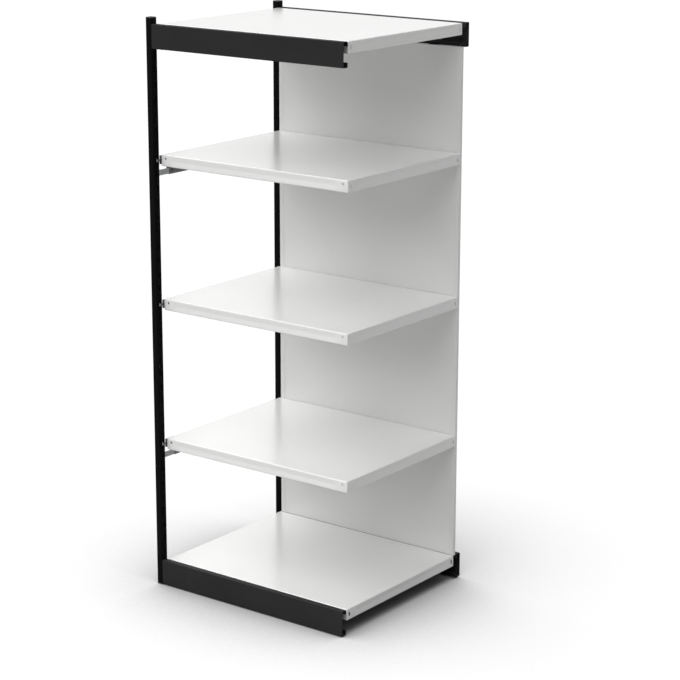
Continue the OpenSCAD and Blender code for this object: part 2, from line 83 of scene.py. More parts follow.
# Shelves: the lips, the left edge's height, the crease in the other edges with the length
# that it fades over at its ends, the front corner holes and the slots of the right end.
# A hole's cutter is the length of the bar that cuts it.
SHELF_WALL = 1.2
SHELF_LIP = 14
LEFT_EDGE = 20
CREASE_DEPTH = 1.2
CREASE_HALF = 14
CREASE_END = 45
CREASE_FADE = 8
CREASE_BEND = 2
CORNER_HOLE = {"inset": 20, "drop": 13, "radius": 4, "cutter": 8}
LOCK_SLOT = {"inset": 14, "drop": 20, "half_width": 4, "half_height": 7, "corner": 1.5}

# Stiffeners: half the width of the flat bottom, the height and the folds' radius
HAT_CROWN = 17
HAT_DEPTH = 25
HAT_FOLD = 2.2

# Rails: the lips, and how far the holes lie from the ends and behind the face
RAIL_WALL = 1.5
RAIL_LIP = 16
RAIL_HOLES = (15, 35)
RAIL_HOLE_Y = 11

# Posts: the slots of the inner face, and the heights of the shoes' bolts
POST_WALL = 1.5
POST_SLOT = {"first": 125, "pitch": 50, "count": 36, "half_width": 2, "half_height": 10,
             "corner": 1.9}
SHOE_BOLTS = (31, 67, 1919, 1955)

# Cross-members: where their bolts lie in depth and above the lower edge
RUNG_WALL = 1.5
RUNG_FOLD = 2.5
RUNG_BOLT_Y = 251
RUNG_BOLT_UP = 12.5

# Back sections: the borders beside the sunk middle, the step between them, and the places
# of the strips' and seams' screws along the length and behind the face
PANEL_WALL = 1
PANEL_FOLD = 2.5
PANEL_BORDER = 18
PANEL_RECESS = 0.8
PANEL_STEP = 0.6
STRIP_X = (-243, 278)
SEAM_SCREW_Y = 6.9

# Bent plates: the walls of their kinds, the inner radius of the bends, and the round
# corners of the strips
SHOE_WALL = 2.5
CLIP_WALL = 2.5
REST_WALL = 2
STRIP_WALL = 2
PLATE_BEND = 0.8
STRIP_CORNER = 4

# Caps and feet: the radius of the rim
RIM_FOLD = 1.1

# Fasteners: the bolts, the screws with their cross recess, their thread, and the holes
# for them
BOLT = {"flats": 10, "head": 4, "thread": 6, "length": 12}
SCREW = {"head_r": 4.5, "head": 2.5, "thread": 5, "length": 9}
CROSS = {"half_length": 2.4, "half_width": 0.6, "depth": 1.4}
THREAD_PITCH = 1
THREAD_DEPTH = 0.35
BOLT_HOLE = {"radius": 3.25, "cutter": 5}
SCREW_HOLE = {"radius": 2.75, "cutter": 6}

# How much is taken off the sharp edges of rails, cross-members, caps and feet, off those
# of the posts, and off those of plates and strips
EDGE_BREAK = 0.25
POST_BREAK = 0.2
PLATE_BREAK = 0.3

# How close counts as on a line, and how close points are merged, in metres
NEAR = 0.1 * MM
MERGE_REACH = 0.01 * MM
# How nearly parallel counts as parallel, and the angles from which an edge counts as a
# fold, is broken, or is shaded sharp, in degrees
PARALLEL = 0.99
FOLD_ANGLE = 60
BREAK_ANGLE = 50
SHADE_ANGLE = 30

# Shelves that lift out, with their bodies, and all levels from the top down
TRAYS = {"upper": "upper_tray", "middle": "middle_tray", "lower": "lower_tray"}
LEVELS = ("top", "upper", "middle", "lower", "bottom")

# Colours of the coats where an edge has rubbed through them, and how smudges and dust
# change the tone of the black coat and of the zinc
RUBBED_BLACK = (0.05, 0.05, 0.052)
RUBBED_WHITE = (0.72, 0.72, 0.71)
DUST_ON_BLACK = 1.3
SMUDGE_ON_ZINC = 0.85


def leave_edit():
    """Goes back to object mode with nothing selected."""
    if bpy.context.mode != "OBJECT":
        bpy.ops.object.mode_set(mode="OBJECT")
    bpy.ops.object.select_all(action="DESELECT")


def select_only(piece):
    leave_edit()
    bpy.context.view_layer.objects.active = piece
    piece.select_set(True)


def place_primitive():
    """Moves a new primitive's place into its mesh."""
    bpy.ops.object.transform_apply(location=True, rotation=True, scale=True)
    return bpy.context.object


def add_block(name, low, high):
    """A box between two corners, the start of most pieces."""
    low, high = Vector(low), Vector(high)
    leave_edit()
    bpy.ops.mesh.primitive_cube_add(size=1, location=(low + high) / 2, scale=high - low)
    piece = place_primitive()
    piece.name = name
    return piece


def pin(place, radius, length, axis, sides=24):
    """A round bar centred on its place, along an axis."""
    turn = {0: (0, radians(90), 0), 1: (radians(90), 0, 0), 2: (0, 0, 0)}[axis]
    leave_edit()
    bpy.ops.mesh.primitive_cylinder_add(vertices=sides, radius=radius * MM,
                                        depth=length * MM, location=place, rotation=turn)
    return place_primitive()


def drill(place, hole, axis):
    """A cutter for a round hole through one wall."""
    return pin(place, hole["radius"], hole["cutter"], axis)


def pick(piece, kind, test):
    """Opens a piece in edit mode and selects the vertices, edges or faces that pass."""
    if bpy.context.mode != "EDIT_MESH" or bpy.context.object != piece:
        select_only(piece)
        bpy.ops.object.mode_set(mode="EDIT")
    bpy.ops.mesh.select_mode(type=kind)
    bpy.ops.mesh.select_all(action="DESELECT")
    shape = bmesh.from_edit_mesh(piece.data)
    shape.normal_update()
    for part in {"VERT": shape.verts, "EDGE": shape.edges, "FACE": shape.faces}[kind]:
        if test(part):
            part.select_set(True)
    bmesh.update_edit_mesh(piece.data)


def facing(x=0, y=0, z=0):
    """A test for faces that look one way."""
    way = Vector((x, y, z))
    return lambda face: face.normal.dot(way) > PARALLEL


def is_end(axis):
    """A test for the faces at both ends of a piece that runs along an axis."""
    return lambda face: abs(face.normal[axis]) > PARALLEL


def middle(part):
    """The middle of a face or an edge."""
    if isinstance(part, bmesh.types.BMFace):
        return part.calc_center_median()
    return (part.verts[0].co + part.verts[1].co) / 2


def run_of(edge):
    """The way that an edge runs."""
    return (edge.verts[1].co - edge.verts[0].co).normalized()


def is_fold(edge):
    return len(edge.link_faces) == 2 and edge.calc_face_angle() > radians(FOLD_ANGLE)


def lies_along(edge, axis):
    return abs(run_of(edge)[axis]) > PARALLEL


def remove_faces(piece, test):
    pick(piece, "FACE", test)
    bpy.ops.mesh.delete(type="FACE")


def round_folds(piece, radius, steps, test=is_fold):
    """Rounds the edges that pass, in a number of steps."""
    pick(piece, "EDGE", test)
    bpy.ops.mesh.bevel(offset=radius * MM, offset_type="OFFSET", segments=steps,
                       profile=0.5, affect="EDGES")


def cut_across(piece, test, place, axis):
    """Adds an edge across the faces that pass, where they cross a plane."""
    pick(piece, "FACE", test)
    at, way = Vector((0, 0, 0)), Vector((0, 0, 0))
    at[axis], way[axis] = place, 1
    bpy.ops.mesh.bisect(plane_co=at, plane_no=way)


def move_points(piece, test, shift):
    pick(piece, "VERT", test)
    bpy.ops.transform.translate(value=shift)


def use_modifier(piece, kind, **values):
    """Adds a modifier, sets it up and applies it."""
    select_only(piece)
    modifier = piece.modifiers.new(kind.lower(), kind)
    for name, value in values.items():
        setattr(modifier, name, value)
    bpy.ops.object.modifier_apply(modifier=modifier.name)


def thicken(piece, wall):
    """Gives a folded surface its sheet thickness, inwards."""
    use_modifier(piece, "SOLIDIFY", thickness=wall * MM, offset=-1, use_even_offset=True,
                 use_quality_normals=True)


def join_into(piece, *others):
    """Joins other pieces into the first one."""
    select_only(piece)
    for other in others:
        other.select_set(True)
    bpy.ops.object.join()
    return piece


def cut_out(piece, cutters, operation="DIFFERENCE"):
    """Cuts the cutters' shapes out of a piece and removes the cutters."""
    cutter = join_into(*cutters)
    use_modifier(piece, "BOOLEAN", object=cutter, operation=operation, solver="EXACT")
    bpy.data.objects.remove(cutter)


def finish_shape(piece, edge=EDGE_BREAK, smooth=SHADE_ANGLE):
    """Breaks the sharp edges, then shades folds smooth and flats flat."""
    if edge:
        use_modifier(piece, "BEVEL", width=edge * MM, segments=1, limit_method="ANGLE",
                     angle_limit=radians(BREAK_ANGLE), use_clamp_overlap=True)
    select_only(piece)
    bpy.ops.object.shade_smooth_by_angle(angle=radians(smooth))
    use_modifier(piece, "WEIGHTED_NORMAL", keep_sharp=True, weight=80)


def copy_of(piece, name, shift=(0, 0, 0), turn=None):
    """A copy with a mesh of its own, turned and moved within that mesh."""
    twin = piece.copy()
    twin.data = piece.data.copy()
    twin.name = name
    bpy.context.scene.collection.objects.link(twin)
    twin.data.transform(Matrix.Translation(Vector(shift)) @ (turn or Matrix()))
    return twin


def mirrored(piece, name):
    """A copy mirrored from the front to the rear."""
    twin = copy_of(piece, name, turn=Matrix.Scale(-1, 4, (0, 1, 0)))
    twin.data.flip_normals()
    return twin


def settle(piece, finish, node, body="bay_frame"):
    """Gives a piece its finish and its body, in place of a CAD node."""
    leave_edit()
    piece.data.materials.clear()
    piece.data.materials.append(finishes[finish])
    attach(piece, body)
    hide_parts(node)


def press_crease(tray, across, outward, low, high):
    """Presses a soft V into the edge of a shelf that looks outward, along the axis across."""
    side = 1 - across
    at = (high if outward > 0 else low)[side]
    level = (low.z + high.z) / 2
    start, end = low[across] + CREASE_END * MM, high[across] - CREASE_END * MM
    way = Vector((0, 0, 0))
    way[side] = outward
    looks_out = facing(*way)

    def is_between(face):
        return looks_out(face) and start < middle(face)[across] < end

    def is_on_line(vert):
        return (abs(vert.co[side] - at) < NEAR and abs(vert.co.z - level) < NEAR
                and start + MM < vert.co[across] < end - MM)

    def is_bend(edge):
        place = middle(edge)
        return (lies_along(edge, across) and start < place[across] < end
                and abs(place[side] - at) < CREASE_DEPTH * MM + NEAR
                and abs(place.z - level) < CREASE_HALF * MM + NEAR)

    for place in (start, start + CREASE_FADE * MM, end - CREASE_FADE * MM, end):
        cut_across(tray, looks_out, place, across)
    for z in (level - CREASE_HALF * MM, level, level + CREASE_HALF * MM):
        cut_across(tray, is_between, z, 2)
    move_points(tray, is_on_line, -CREASE_DEPTH * MM * way)
    round_folds(tray, CREASE_BEND, steps=3, test=is_bend)


def cut_left_edge(tray, low, high):
    """Cuts a shelf's left edge short between its corners, where it stands on the clips."""
    lip, edge_z = SHELF_LIP * MM, high.z - LEFT_EDGE * MM

    def is_below(face):
        return facing(x=-1)(face) and middle(face).z < edge_z

    cut_across(tray, facing(x=-1), edge_z, 2)
    for y in (low.y + lip, high.y - lip):
        cut_across(tray, is_below, y, 1)
    remove_faces(tray, lambda face: is_below(face)
                 and low.y + lip < middle(face).y < high.y - lip)


def slot_cutter(centre, half, corner, steps):
    """A cutter for a slot with round corners, through a wall that looks along X."""
    slot = add_block("cutter", centre - half, centre + half)
    round_folds(slot, corner, steps, lambda edge: lies_along(edge, 0))
    leave_edit()
    return slot


def shelf_cutters(low, high):
    """The corner holes of a shelf's front edge and the slots of its right end."""
    inset = CORNER_HOLE["inset"] * MM
    z = high.z - CORNER_HOLE["drop"] * MM
    cutters = [drill((x, low.y, z), CORNER_HOLE, 1)
               for x in (low.x + inset, high.x - inset)]
    inset = LOCK_SLOT["inset"] * MM
    z = high.z - LOCK_SLOT["drop"] * MM
    half = Vector((FOLD, LOCK_SLOT["half_width"], LOCK_SLOT["half_height"])) * MM
    return cutters + [slot_cutter(Vector((high.x, y, z)), half, LOCK_SLOT["corner"], 3)
                      for y in (low.y + inset, high.y - inset)]


def model_shelf(name, low, high):
    """A tray: a top, four edges folded down and lips folded in under three of them."""
    tray = add_block(name, low, high)
    pick(tray, "FACE", facing(z=-1))
    bpy.ops.mesh.inset(thickness=SHELF_LIP * MM, depth=0)
    bpy.ops.mesh.delete(type="FACE")
    remove_faces(tray, lambda face: facing(z=-1)(face)
                 and middle(face).x < low.x + SHELF_LIP * MM)
    cut_left_edge(tray, low, high)
    round_folds(tray, FOLD, steps=4)
    press_crease(tray, 0, -1, low, high)
    press_crease(tray, 0, 1, low, high)
    press_crease(tray, 1, 1, low, high)
    thicken(tray, SHELF_WALL)
    cut_out(tray, shelf_cutters(low, high))
    finish_shape(tray, edge=0)
    return tray


def model_stiffener(name, low, high):
    """A hat section with rounded bends, open at both ends."""
    y = (low.y + high.y) / 2
    hat = add_block(name, low, high)
    remove_faces(hat, lambda face: not facing(z=1)(face))
    for side in (-1, 1):
        cut_across(hat, lambda face: True, y + side * HAT_CROWN * MM, 1)
    pick(hat, "FACE", lambda face: abs(middle(face).y - y) < MM)
    bpy.ops.mesh.extrude_region_move(
        TRANSFORM_OT_translate={"value": (0, 0, -(HAT_DEPTH - SHELF_WALL) * MM)})
    remove_faces(hat, is_end(0))
    round_folds(hat, HAT_FOLD, steps=3)
    thicken(hat, SHELF_WALL)
    finish_shape(hat, edge=0)
    return hat


def model_rail(name, low, high, strip_z=None):
    """A front channel: its web, two flanges, and a lip along each flange's inner edge."""
    rail = add_block(name, low, high)
    remove_faces(rail, is_end(0))
    lips = (low.z + RAIL_LIP * MM, high.z - RAIL_LIP * MM)
    for z in lips:
        cut_across(rail, facing(y=1), z, 2)
    remove_faces(rail, lambda face: facing(y=1)(face) and lips[0] < middle(face).z < lips[1])
    round_folds(rail, FOLD, steps=5)
    thicken(rail, RAIL_WALL)
    hole_y = low.y + RAIL_HOLE_Y * MM
    cutters = [drill((x, hole_y, low.z), SCREW_HOLE, 2)
               for inset in RAIL_HOLES for x in (low.x + inset * MM, high.x - inset * MM)]
    if strip_z:
        cutters += [drill((x * MM, hole_y, strip_z), SCREW_HOLE, 2) for x in STRIP_X]
    cut_out(rail, cutters)
    finish_shape(rail)
    return rail


def model_post(name, low, high):
    """A box tube with a row of slots on its inner face."""
    post = add_block(name, low, high)
    remove_faces(post, is_end(2))
    round_folds(post, FOLD, steps=5)
    thicken(post, POST_WALL)
    y = (low.y + high.y) / 2
    half = Vector((POST_SLOT["half_width"], POST_SLOT["half_width"],
                   POST_SLOT["half_height"])) * MM
    slots = slot_cutter(Vector((high.x, y, POST_SLOT["first"] * MM)), half,
                        POST_SLOT["corner"], 4)
    use_modifier(slots, "ARRAY", count=POST_SLOT["count"], use_relative_offset=False,
                 use_constant_offset=True,
                 constant_offset_displace=(0, 0, POST_SLOT["pitch"] * MM))
    holes = [drill((high.x, y, level * MM), BOLT_HOLE, 0) for level in SHOE_BOLTS]
    cut_out(post, [slots] + holes)
    finish_shape(post, edge=POST_BREAK)
    return post


def model_rung(name, low, high):
    """A flat tube with open ends and a bolt hole near each."""
    rung = add_block(name, low, high)
    remove_faces(rung, is_end(1))
    round_folds(rung, RUNG_FOLD, steps=4)
    thicken(rung, RUNG_WALL)
    z = low.z + RUNG_BOLT_UP * MM
    cut_out(rung, [drill((high.x, y * MM, z), BOLT_HOLE, 0)
                   for y in (-RUNG_BOLT_Y, RUNG_BOLT_Y)])
    finish_shape(rung)
    return rung


def sink_middle(sheet, low, high):
    """Sets the middle of a back section behind its borders, with a soft step between."""
    border, half_step = PANEL_BORDER * MM, PANEL_STEP / 2 * MM
    left, right = low.x + border, high.x - border

    def is_middle(vert):
        return (abs(vert.co.y - low.y) < NEAR
                and left + half_step < vert.co.x < right - half_step)

    for x in (left, right):
        for side in (-1, 1):
            cut_across(sheet, facing(y=-1), x + side * PANEL_STEP * MM, 0)
    move_points(sheet, is_middle, (0, PANEL_RECESS * MM, 0))
    round_folds(sheet, PANEL_STEP, 2,
                lambda edge: is_fold(edge) and abs(middle(edge).y - low.y) < MM)


def model_back(name, low, high, seams):
    """A back section: a sheet with folded edges, and holes where seams meet it."""
    sheet = add_block(name, low, high)
    remove_faces(sheet, facing(y=1))
    round_folds(sheet, PANEL_FOLD, 4, lambda edge: is_fold(edge) and lies_along(edge, 2))
    sink_middle(sheet, low, high)
    thicken(sheet, PANEL_WALL)
    cut_out(sheet, [drill((x * MM, low.y + SEAM_SCREW_Y * MM, z), SCREW_HOLE, 2)
                    for x in STRIP_X for z in seams])
    finish_shape(sheet, edge=0)
    return sheet


def merged_copy(node, name):
    """A copy of a CAD node's mesh with its loose triangles joined and its flats whole."""
    piece = bpy.data.objects.new(name, frame["nodes"][node].data.copy())
    bpy.context.scene.collection.objects.link(piece)
    pick(piece, "VERT", lambda vert: True)
    bpy.ops.mesh.remove_doubles(threshold=MERGE_REACH)
    bpy.ops.mesh.select_all(action="SELECT")
    bpy.ops.mesh.dissolve_limited(angle_limit=radians(1))
    return piece


def round_bends(piece, wall):
    """Rounds the bends of a bent plate, inside and, a wall's thickness away, outside."""
    def is_inside(edge):
        return is_fold(edge) and not edge.is_convex

    pick(piece, "EDGE", is_inside)
    bends = [(middle(edge), run_of(edge))
             for edge in bmesh.from_edit_mesh(piece.data).edges if edge.select]

    def is_across_wall(edge, place, run):
        gap = middle(edge) - place
        apart = (gap - run * gap.dot(run)).length
        return (abs(run_of(edge).dot(run)) > PARALLEL
                and abs(apart - wall * MM * sqrt(2)) < NEAR)

    def is_outside(edge):
        return (is_fold(edge) and edge.is_convex
                and any(is_across_wall(edge, place, run) for place, run in bends))

    round_folds(piece, PLATE_BEND + wall, steps=4, test=is_outside)
    round_folds(piece, PLATE_BEND, steps=3, test=is_inside)


def model_bent_plate(node, wall):
    """Bent plates at a node's places, with rounded bends and fine broken edges."""
    piece = merged_copy(node, node + "_steel")
    round_bends(piece, wall)
    finish_shape(piece, edge=PLATE_BREAK)
    return piece


def model_strips(node):
    """Flat strips with round corners."""
    piece = merged_copy(node, node + "_steel")
    round_folds(piece, STRIP_CORNER, 3, lambda edge: is_fold(edge) and edge.is_convex
                and lies_along(edge, 2))
    finish_shape(piece, edge=PLATE_BREAK)
    return piece


def model_end_piece(node, name, rim_z):
    """A post's cap or foot, with the rim at one level rounded."""
    piece = merged_copy(node, name)
    round_folds(piece, RIM_FOLD, 3, lambda edge: is_fold(edge)
                and abs(middle(edge).z - rim_z) < NEAR)
    finish_shape(piece)
    return piece


def turned(name, outline, sides):
    """A round piece about the Z axis, from the radius and height of its outline's points."""
    leave_edit()
    bpy.ops.mesh.primitive_plane_add(size=MM)
    piece = bpy.context.object
    piece.name = name
    pick(piece, "VERT", lambda vert: True)
    bpy.ops.mesh.merge(type="CENTER")
    at = Vector((0, 0, 0))
    for step, (radius, height) in enumerate(outline):
        shift = Vector((radius, 0, height)) * MM - at
        if step:
            bpy.ops.mesh.extrude_region_move(TRANSFORM_OT_translate={"value": shift})
        else:
            bpy.ops.transform.translate(value=shift)
        at += shift
    bpy.ops.mesh.select_all(action="SELECT")
    bpy.ops.mesh.spin(steps=sides, angle=radians(360), center=(0, 0, 0), axis=(0, 0, 1))
    bpy.ops.mesh.select_all(action="SELECT")
    bpy.ops.mesh.remove_doubles(threshold=MERGE_REACH)
    bpy.ops.mesh.normals_make_consistent(inside=False)
    leave_edit()
    return piece


def thread(radius, length):
    """The outline of a threaded shank that runs up from height 0 to a blunt point."""
    root = radius - THREAD_DEPTH
    points = []
    for turn in range(int(length / THREAD_PITCH) - 1):
        points += [(root, turn * THREAD_PITCH), (radius, (turn + 0.5) * THREAD_PITCH)]
    return points + [(root, length - THREAD_PITCH), (radius - 1, length), (0, length)]


def model_bolt(name):
    """A hexagon bolt: its head from x = 0 outwards, its shank towards -x."""
    tall, radius = BOLT["head"], BOLT["thread"] / 2
    corner = BOLT["flats"] / 2 / cos(radians(30))
    head = pin((0, 0, -tall / 2 * MM), corner, tall, 2, sides=6)
    # The dome takes off the corners of the head, more at its outer end
    dome = [(0, -tall), (corner - 1, -tall), (corner + 0.1, 0.8 - tall),
            (corner + 0.1, -0.4), (corner - 0.9, -0.2), (corner - 0.9, 0), (0, 0)]
    cut_out(head, [turned("cutter", dome, 48)], "INTERSECT")
    stub = [(0, -0.5), (radius - THREAD_DEPTH, -0.5)]
    bolt = join_into(head, turned("shank", stub + thread(radius, BOLT["length"]), 16))
    bolt.data.transform(Matrix.Rotation(radians(-90), 4, "Y"))
    bolt.name = name
    finish_shape(bolt, edge=0, smooth=25)
    return bolt


def model_screw(name):
    """A domed screw with a cross recess: its head under z = 0, its shank upwards."""
    wide, tall = SCREW["head_r"], SCREW["head"]
    dome = [(0, -tall), (wide * 0.35, -tall), (wide * 0.7, -tall * 0.86),
            (wide * 0.92, -tall * 0.55), (wide, -tall * 0.2), (wide, 0)]
    screw = turned(name, dome + thread(SCREW["thread"] / 2, SCREW["length"]), 20)
    arm = (CROSS["half_length"], CROSS["half_width"])
    for half_x, half_y in (arm, arm[::-1]):
        low = Vector((-half_x, -half_y, -tall - 1)) * MM
        high = Vector((half_x, half_y, CROSS["depth"] - tall)) * MM
        cut_out(screw, [add_block("cutter", low, high)])
    finish_shape(screw, edge=0, smooth=35)
    return screw


def add_camera():
    """The camera at the photograph's viewing angle."""
    bpy.ops.object.camera_add(location=CAMERA_PLACE,
                              rotation=[radians(angle) for angle in CAMERA_TURN])
    camera = bpy.context.object
    camera.data.lens = CAMERA_LENS
    camera.data.sensor_width = SENSOR
    camera.data.clip_end = CAMERA_REACH
    bpy.context.scene.camera = camera


def add_lamps():
    """The soft lamps: suns that are spread wide."""
    for height, bearing, strength in SOFT_LAMPS:
        turn = (radians(90 - height), 0, radians(-bearing))
        bpy.ops.object.light_add(type="SUN", rotation=turn)
        lamp = bpy.context.object.data
        lamp.energy = strength
        lamp.angle = radians(LAMP_WIDTH)


def put(tree, kind, inputs=None, **settings):
    """Adds a shader node, sets it up and links or fills its inputs."""
    node = tree.nodes.new("ShaderNode" + kind)
    for name, value in settings.items():
        setattr(node, name, value)
    for name, value in (inputs or {}).items():
        if isinstance(value, bpy.types.NodeSocket):
            tree.links.new(value, node.inputs[name])
        else:
            node.inputs[name].default_value = value
    return node


def reckon(tree, operation, first, second):
    """A sum, product or the like of two values."""
    return put(tree, "Math", {0: first, 1: second}, operation=operation).outputs[0]


def grade(tree, value, low, high):
    """Stretches a value so that low becomes 0 and high becomes 1."""
    return put(tree, "MapRange", {"Value": value, "From Min": low,
                                  "From Max": high}).outputs[0]


def between(tree, mask, low, high):
    """A number between two, by a mask."""
    return put(tree, "MapRange", {"Value": mask, "To Min": low, "To Max": high}).outputs[0]


def new_tree(owner):
    """The empty node tree of a material or a world."""
    owner.use_nodes = True
    owner.node_tree.nodes.clear()
    return owner.node_tree


def add_sky():
    """White to the camera, a little darker in a gloss, and no light on the object."""
    world = bpy.data.worlds.new("studio")
    bpy.context.scene.world = world
    tree = new_tree(world)
    path = put(tree, "LightPath").outputs
    mirrored_sky = reckon(tree, "MULTIPLY", path["Is Glossy Ray"], SKY_IN_GLOSS)
    strength = reckon(tree, "MAXIMUM", path["Is Camera Ray"], mirrored_sky)
    sky = put(tree, "Background", {"Color": (1, 1, 1, 1), "Strength": strength})
    put(tree, "OutputWorld", {0: sky.outputs[0]})


def paint_floor():
    """White as seen, with a painted shadow at the object, and grey in what it lights."""
    material = bpy.data.materials.new("floor_paint")
    tree = new_tree(material)
    # Painted shadow: the floor's glow is darkened where the object hides the sky round a
    # point
    near = put(tree, "AmbientOcclusion", {"Distance": PAINTED_SHADOW_REACH}, samples=12)
    tone = grade(tree, near.outputs["AO"], PAINTED_SHADOW_BLACK, PAINTED_SHADOW_CLEAR)
    paint = put(tree, "CombineColor", {0: tone, 1: tone, 2: tone})
    glow = put(tree, "Emission", {"Color": paint.outputs[0], "Strength": FLOOR_WHITE})
    lit = put(tree, "BsdfDiffuse", {"Color": (1, 1, 1, 1)})
    seen = put(tree, "MixShader", {0: FLOOR_GLOW, 1: lit.outputs[0], 2: glow.outputs[0]})
    bounce = put(tree, "BsdfDiffuse", {"Color": (*[FLOOR_BOUNCE] * 3, 1)})
    path = put(tree, "LightPath").outputs
    is_seen = reckon(tree, "MAXIMUM", path["Is Camera Ray"], path["Is Glossy Ray"])
    mix = put(tree, "MixShader", {0: is_seen, 1: bounce.outputs[0], 2: seen.outputs[0]})
    put(tree, "OutputMaterial", {0: mix.outputs[0]})
    return material


def add_floor():
    """A wide white floor with a painted shadow at the object, which also keeps a share of its
    real shadow.
    """
    leave_edit()
    bpy.ops.mesh.primitive_plane_add(size=2 * FLOOR_HALF)
    floor = bpy.context.object
    floor.name = "floor"
    floor.data.materials.append(paint_floor())


def new_effect(name, inputs, outputs):
    """A shader group with named inputs and outputs, for effects that finishes share."""
    tree = bpy.data.node_groups.new(name, "ShaderNodeTree")
    for label, value in inputs.items():
        socket = tree.interface.new_socket(label, in_out="INPUT",
                                           socket_type="NodeSocketFloat")
        socket.default_value = value
    for label in outputs:
        tree.interface.new_socket(label, in_out="OUTPUT", socket_type="NodeSocketFloat")
    taken = tree.nodes.new("NodeGroupInput").outputs
    place = put(tree, "TexCoord").outputs["Object"]
    return tree, taken, place


def give_out(tree, **results):
    """Links a group's results to its outputs."""
    given = tree.nodes.new("NodeGroupOutput")
    for label, socket in results.items():
        tree.links.new(socket, given.inputs[label])
    return tree


def make_powder_coat():
    """The orange peel of a baked powder coat, and the slow drift of its thickness."""
    tree, taken, place = new_effect("powder_coat", {"Peel scale": 450, "Cloud scale": 3},
                                    ("Peel", "Cloud"))
    peel = put(tree, "TexNoise", {"Vector": place, "Scale": taken["Peel scale"], "Detail": 1,
                                  "Roughness": 0.4})
    cloud = put(tree, "TexNoise", {"Vector": place, "Scale": taken["Cloud scale"],
                                   "Detail": 3})
    return give_out(tree, Peel=peel.outputs[0],
                    Cloud=grade(tree, cloud.outputs[0], 0.3, 0.7))


def make_cut_edges():
    """A mask of the sharp cut edges, where a coat is thin and rubs first."""
    tree, taken, place = new_effect("cut_edges", {"Reach": 0.0007, "Breaks": 120}, ("Mask",))
    inside = put(tree, "AmbientOcclusion", {"Distance": taken["Reach"]}, samples=8,
                 inside=True, only_local=True)
    breaks = put(tree, "TexNoise", {"Vector": place, "Scale": taken["Breaks"], "Detail": 4})
    edge = grade(tree, inside.outputs["AO"], 0.85, 0.5)
    patchy = grade(tree, breaks.outputs[0], 0.42, 0.62)
    return give_out(tree, Mask=reckon(tree, "MULTIPLY", edge, patchy))


def make_spangle():
    """The crystals of a zinc coat: a tone for each, and a faint relief."""
    tree, taken, place = new_effect("zinc_spangle", {"Scale": 260}, ("Tone", "Relief"))
    ragged = put(tree, "TexNoise", {"Vector": place, "Scale": 900, "Detail": 2})
    shaken = put(tree, "Mix", {"Factor": 0.003, "A": place, "B": ragged.outputs["Color"]},
                 data_type="VECTOR")
    cells = put(tree, "TexVoronoi", {"Vector": shaken.outputs["Result"],
                                     "Scale": taken["Scale"]})
    parts = put(tree, "SeparateColor", {0: cells.outputs["Color"]})
    return give_out(tree, Tone=parts.outputs[0], Relief=cells.outputs["Distance"])


def make_handling():
    """Faint smudges and dust, a little more on faces that look up."""
    tree, taken, place = new_effect("handling", {"Scale": 9}, ("Mask",))
    smudge = put(tree, "TexNoise", {"Vector": place, "Scale": taken["Scale"], "Detail": 5,
                                    "Roughness": 0.65})
    patch = grade(tree, smudge.outputs[0], 0.5, 0.75)
    way = put(tree, "SeparateXYZ", {0: put(tree, "NewGeometry").outputs["Normal"]})
    upward = put(tree, "MapRange", {"Value": way.outputs["Z"], "From Min": 0.2,
                                    "To Min": 0.35})
    return give_out(tree, Mask=reckon(tree, "MULTIPLY", patch, upward.outputs[0]))


def use_effect(tree, effect, **values):
    """Places a shared effect in a finish, with the finish's own values."""
    group = tree.nodes.new("ShaderNodeGroup")
    group.node_tree = effect
    for name, value in values.items():
        group.inputs[name.replace("_", " ").capitalize()].default_value = value
    return group.outputs


def blend(tree, mask, low, high):
    """A colour between two, by a mask."""
    low, high = [end if isinstance(end, bpy.types.NodeSocket) else (*end, 1)
                 for end in (low, high)]
    mix = put(tree, "Mix", {"Factor": mask, "A": low, "B": high}, data_type="RGBA")
    return mix.outputs["Result"]


def new_finish(name, **fixed):
    """A material with its shader, and the numbers that are the same all over it."""
    material = bpy.data.materials.new(name)
    tree = new_tree(material)
    shader = put(tree, "BsdfPrincipled", {label.replace("_", " "): value
                                          for label, value in fixed.items()})
    put(tree, "OutputMaterial", {0: shader.outputs[0]})
    return material, tree, shader


def dress(tree, shader, colour, roughness, height, depth):
    """Links a finish's colour, roughness and relief, of a depth in mm, to its shader."""
    tree.links.new(colour, shader.inputs["Base Color"])
    tree.links.new(roughness, shader.inputs["Roughness"])
    bump = put(tree, "Bump", {"Height": height, "Strength": 0.6, "Distance": depth * MM})
    tree.links.new(bump.outputs[0], shader.inputs["Normal"])


def paint_black(name, deep, pale, shine):
    """Black powder coat, of the posts and rails."""
    material, tree, shader = new_finish(name, Specular_IOR_Level=shine)
    coat = use_effect(tree, powder_coat)
    marks = use_effect(tree, handling)["Mask"]
    edges = use_effect(tree, cut_edges)["Mask"]
    colour = blend(tree, coat["Cloud"], deep, pale)
    colour = blend(tree, marks, colour, [DUST_ON_BLACK * tone for tone in pale])
    colour = blend(tree, edges, colour, RUBBED_BLACK)
    dress(tree, shader, colour, roughness=between(tree, marks, 0.5, 0.6),
          height=coat["Peel"], depth=0.12)
    return material


def paint_white(name, deep, pale, shine):
    """White powder coat, glossy enough to show a pale room softly."""
    material, tree, shader = new_finish(name, Specular_IOR_Level=shine, Coat_Weight=1,
                                        Coat_Roughness=0.22, Coat_IOR=1.6)
    coat = use_effect(tree, powder_coat)
    edges = use_effect(tree, cut_edges)["Mask"]
    colour = blend(tree, coat["Cloud"], deep, pale)
    colour = blend(tree, edges, colour, RUBBED_WHITE)
    dress(tree, shader, colour, height=coat["Peel"], depth=0.02,
          roughness=between(tree, coat["Cloud"], 0.3, 0.32))
    return material


